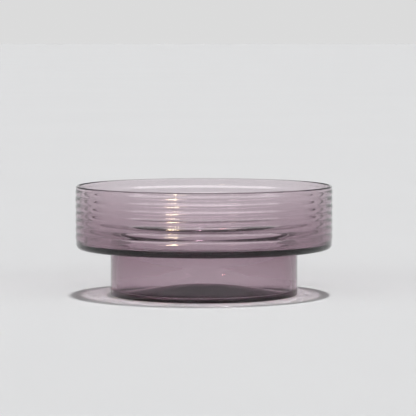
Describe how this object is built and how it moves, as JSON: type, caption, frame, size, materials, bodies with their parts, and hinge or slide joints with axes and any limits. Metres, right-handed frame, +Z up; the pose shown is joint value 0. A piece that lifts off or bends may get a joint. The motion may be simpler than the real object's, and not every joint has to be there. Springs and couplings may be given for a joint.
{
  "type": "glass candle holder",
  "caption": "Low ribbed glass candle holder: a wide straight-sided bowl that steps in to a narrower hollow foot, in clear mauve glass.",
  "frame": {"origin": "centre of the resting ring, on the surface that the holder stands on", "axes": "+Z up along the axis of revolution; X and Y are level and alike, because the holder is round"},
  "size_m": [0.2, 0.2, 0.085],
  "materials": {
    "mauve_glass": "clear, fire-polished, tinted all through"
  },
  "bodies": {
    "root": {"base_disc": "mauve_glass", "foot_wall": "mauve_glass", "shoulder_ring": "mauve_glass", "ribbed_wall": "mauve_glass", "rim_lip": "mauve_glass"}
  },
  "joints": []
}
